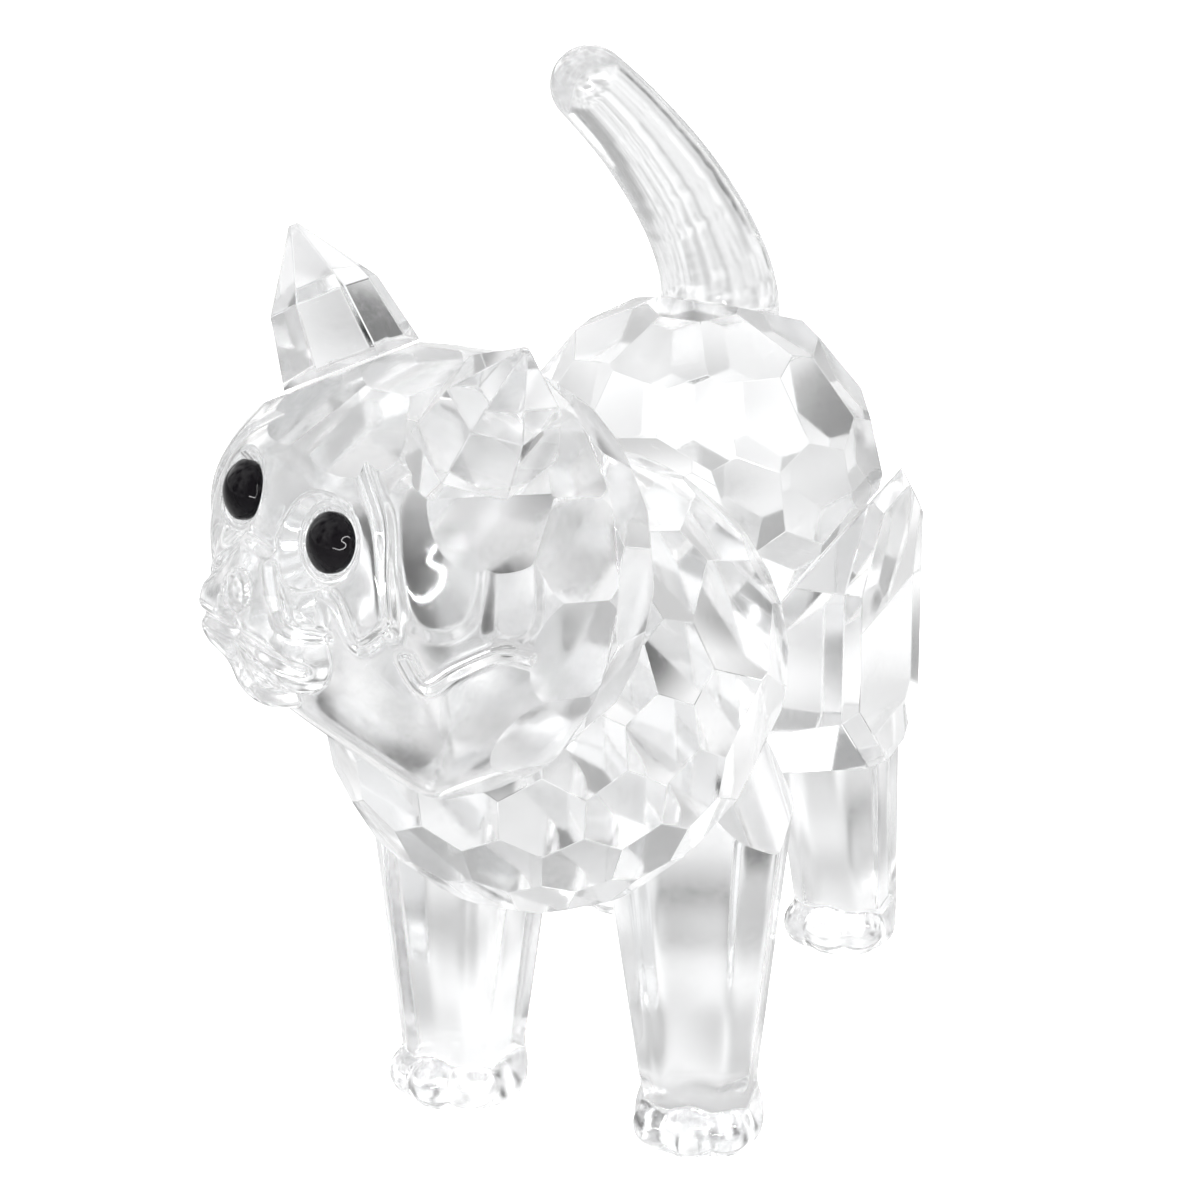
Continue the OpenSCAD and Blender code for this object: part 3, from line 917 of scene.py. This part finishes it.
def make_world():
    """A studio of soft light: white behind and overhead, grey on the side of the viewer."""
    world = bpy.data.worlds.new("Studio")
    bpy.context.scene.world = world
    world.use_nodes = True
    tree = world.node_tree
    tree.nodes.clear()
    out = node(tree, "ShaderNodeOutputWorld")
    light = node(tree, "ShaderNodeBackground")
    link(tree, light, "Background", out, "Surface")
    place = node(tree, "ShaderNodeTexCoord")
    side = node(tree, "ShaderNodeVectorMath", operation="DOT_PRODUCT")
    link(tree, place, "Generated", side, 0)
    side.inputs[1].default_value = VIEW_FROM
    shift = node(tree, "ShaderNodeMapRange")
    shift.inputs["From Min"].default_value = -1
    link(tree, side, "Value", shift, "Value")
    ramp = grey_ramp(tree, ROOM_LIGHT)
    link(tree, shift, "Result", ramp, "Fac")
    folds = grey_patches(tree, place, "Generated", FOLDS_ACROSS, ROOM_FOLDS)
    both = node(tree, "ShaderNodeMix", data_type="RGBA", blend_type="MULTIPLY")
    both.inputs["Factor"].default_value = 1.0
    both.clamp_result = False
    tree.links.new(ramp.outputs["Color"], both.inputs["A"])
    tree.links.new(folds.outputs["Color"], both.inputs["B"])
    tree.links.new(both.outputs["Result"], light.inputs["Color"])


def lamp_mesh():
    """The lamp's tube, bent in an S that faces the cat."""
    facing = sky_direction(*(math.radians(a) for a in LAMP_PLACE))
    middle = VIEW_TARGET + facing * LAMP_FAR
    across = -facing.cross((0, 0, 1)).normalized()
    upward = facing.cross(across)
    curve = bpy.data.curves.new("lamp_path", "CURVE")
    curve.dimensions = "3D"
    curve.bevel_depth = LAMP_TUBE
    curve.bevel_resolution = 4
    curve.use_fill_caps = True
    spline = curve.splines.new("BEZIER")
    spline.bezier_points.add(len(LAMP_SHAPE) - 1)
    for point, (x, y) in zip(spline.bezier_points, LAMP_SHAPE):
        point.co = middle + (across * x + upward * y) * LAMP_SIZE
        point.handle_left_type = point.handle_right_type = "AUTO"
    maker = bpy.data.objects.new("lamp_path", curve)
    bpy.context.scene.collection.objects.link(maker)
    graph = bpy.context.evaluated_depsgraph_get()
    mesh = bpy.data.meshes.new_from_object(maker.evaluated_get(graph))
    bpy.data.objects.remove(maker)
    return mesh


def glowing(name):
    """A material that gives white light, and its shader."""
    material = bpy.data.materials.new(name)
    material.use_nodes = True
    shader = material.node_tree.nodes["Principled BSDF"]
    shader.inputs["Emission Color"].default_value = (1, 1, 1, 1)
    return material, shader


def make_lamp():
    """A bent lamp tube beside the viewer, seen as a bright mark in the cheek and the eyes."""
    material, shader = glowing("Lamp glow")
    shader.inputs["Emission Strength"].default_value = LAMP_POWER
    new_piece("lamp", lamp_mesh(), [material])


def painted_floor_spots(tree, place, patches):
    """The painted glow of the patches, with soft-edged painted shadows and painted pools of light added to
    it.
    """
    total, output = patches, "Color"
    for (x, y), radius, change in FLOOR_PAINTED_SHADOWS_AND_LIGHTS:
        away = node(tree, "ShaderNodeVectorMath", operation="DISTANCE")
        link(tree, place, "Object", away, 0)
        away.inputs[1].default_value = (x * MM, y * MM, 0)
        # A spot of painted shadow or painted light, soft at its edge.
        painted_spot = node(tree, "ShaderNodeMapRange")
        painted_spot.inputs["From Min"].default_value = radius * MM * (1 - PAINTED_SPOT_EDGE)
        painted_spot.inputs["From Max"].default_value = radius * MM * (1 + PAINTED_SPOT_EDGE)
        painted_spot.inputs["To Min"].default_value = change
        painted_spot.inputs["To Max"].default_value = 0.0
        link(tree, away, "Value", painted_spot, "Value")
        joined = node(tree, "ShaderNodeMath", operation="ADD")
        link(tree, total, output, joined, 0)
        link(tree, painted_spot, "Result", joined, 1)
        total, output = joined, 0
    glow = node(tree, "ShaderNodeMath", operation="MAXIMUM")
    link(tree, total, output, glow, 0)
    glow.inputs[1].default_value = 0.0
    return glow


def floor_material():
    """A floor with a painted glow: white where it is seen directly, and through the glass in patches of
    painted shade and painted light.
    """
    material, shader = glowing("Pale floor")
    shader.inputs["Base Color"].default_value = (FLOOR_GREY, FLOOR_GREY, FLOOR_GREY, 1)
    shader.inputs["Roughness"].default_value = 0.9
    shader.inputs["Specular IOR Level"].default_value = 0.0
    tree = material.node_tree
    place = node(tree, "ShaderNodeTexCoord")
    # Patches of painted shade and painted light in the floor's glow, seen through the glass.
    patches = grey_patches(tree, place, "Object", FLOOR_PAINTED_PATCHES, FLOOR_PAINTED_GLOW)
    painted_glow_under = painted_floor_spots(tree, place, patches)
    # Painted glow: the floor glows brighter where the camera sees it directly.
    path = node(tree, "ShaderNodeLightPath")
    glow = node(tree, "ShaderNodeMath", operation="MULTIPLY_ADD")
    link(tree, path, "Is Camera Ray", glow, 0)
    glow.inputs[1].default_value = FLOOR_SEEN_PAINTED_GLOW
    link(tree, painted_glow_under, 0, glow, 2)
    link(tree, glow, 0, shader, "Emission Strength")
    return material


def make_floor():
    bm = bmesh.new()
    bmesh.ops.create_grid(bm, x_segments=8, y_segments=8, size=FLOOR_SIZE)
    for vert in bm.verts:
        vert.co.z -= FLOOR_GAP
    mesh = bpy.data.meshes.new("floor")
    bm.to_mesh(mesh)
    bm.free()
    new_piece("floor", mesh, [floor_material()])


# ---------------------------------------------------------------- settings, operators, panel


class CRYSTALCAT_PG_cutting(bpy.types.PropertyGroup):
    edge: bpy.props.FloatProperty(
        name="Edge width", description="Width of the polished edge between facets",
        default=0.045 * MM, min=0.0, soft_max=0.2 * MM, unit="LENGTH", precision=5,
    )
    ior: bpy.props.FloatProperty(
        name="Refraction", description="Refractive index of the crystal", default=1.55, min=1.4, max=1.8,
    )
    tint: bpy.props.FloatVectorProperty(
        name="Tint", description="Colour of the crystal", subtype="COLOR", default=(0.985, 0.99, 0.995),
        min=0.0, max=1.0,
    )


CUT_NODES = ("chest", "rump", "head_back", "ear_left", "ear_right", "thigh_left", "thigh_right")


class CRYSTALCAT_OT_cut_pieces(bpy.types.Operator):
    """Make the faceted balls, ears and thighs"""

    bl_idname = "crystal_cat.cut_pieces"
    bl_label = "Cut Pieces"

    def execute(self, context):
        s = context.scene.crystal_cat
        crystal = glass("Cut crystal", s.tint, s.ior, CUT_SMEAR)
        for name in CUT_NODES:
            cut_piece(name, s.edge, [crystal, bonded_glass()])
        return {"FINISHED"}


class CRYSTALCAT_OT_moulded_pieces(bpy.types.Operator):
    """Make the moulded face, tail and legs"""

    bl_idname = "crystal_cat.moulded_pieces"
    bl_label = "Moulded Pieces"

    def execute(self, context):
        s = context.scene.crystal_cat
        crystal = glass(
            "Moulded crystal", s.tint, s.ior, MOULDED_SMEAR, MOULDED_WAVE, MOULDED_WAVES_PER_METRE
        )
        materials = [crystal, bonded_glass()]
        face_piece(materials)
        tail_piece(materials)
        for name, side in SIDES.items():
            leg_piece("front_leg_" + name, FRONT_LEG, side, materials)
            leg_piece("hind_leg_" + name, HIND_LEG, side, materials)
        return {"FINISHED"}


class CRYSTALCAT_OT_eyes(bpy.types.Operator):
    """Make the black eye stones"""

    bl_idname = "crystal_cat.eyes"
    bl_label = "Eyes"

    def execute(self, context):
        stone = black_stone()
        for side in SIDES:
            eye_stone(side, stone)
        return {"FINISHED"}


class CRYSTALCAT_OT_films(bpy.types.Operator):
    """Make the films of clear adhesive in the joints"""

    bl_idname = "crystal_cat.films"
    bl_label = "Adhesive Films"

    def execute(self, context):
        film = glass("Clear adhesive", CLEAR, 1.0, 0.0)
        for name in FILMS:
            film_piece(name, film)
        return {"FINISHED"}


class CRYSTALCAT_OT_stage(bpy.types.Operator):
    """Make the camera, floor and studio light"""

    bl_idname = "crystal_cat.stage"
    bl_label = "Stage"

    def execute(self, context):
        make_camera()
        make_world()
        make_lamp()
        make_floor()
        cycles = context.scene.cycles
        cycles.max_bounces = cycles.transmission_bounces = cycles.transparent_max_bounces = 32
        cycles.glossy_bounces = 16
        context.scene.view_settings.view_transform = "Standard"
        return {"FINISHED"}


class CRYSTALCAT_PT_panel(bpy.types.Panel):
    bl_label = "Crystal Cat"
    bl_idname = "CRYSTALCAT_PT_panel"
    bl_space_type = "VIEW_3D"
    bl_region_type = "UI"
    bl_category = "Crystal Cat"

    def draw(self, context):
        column = self.layout.column()
        for name in ("edge", "ior", "tint"):
            column.prop(context.scene.crystal_cat, name)
        for maker in OPERATORS:
            column.operator(maker.bl_idname)


OPERATORS = (
    CRYSTALCAT_OT_cut_pieces, CRYSTALCAT_OT_moulded_pieces, CRYSTALCAT_OT_eyes, CRYSTALCAT_OT_films,
    CRYSTALCAT_OT_stage,
)
CLASSES = (CRYSTALCAT_PG_cutting, *OPERATORS, CRYSTALCAT_PT_panel)


def register():
    for made in CLASSES:
        bpy.utils.register_class(made)
    bpy.types.Scene.crystal_cat = bpy.props.PointerProperty(type=CRYSTALCAT_PG_cutting)


def unregister():
    del bpy.types.Scene.crystal_cat
    for made in reversed(CLASSES):
        bpy.utils.unregister_class(made)


def main():
    register()
    bpy.ops.crystal_cat.cut_pieces()
    bpy.ops.crystal_cat.moulded_pieces()
    bpy.ops.crystal_cat.eyes()
    bpy.ops.crystal_cat.films()
    bpy.ops.crystal_cat.stage()


if __name__ == "__main__":
    main()
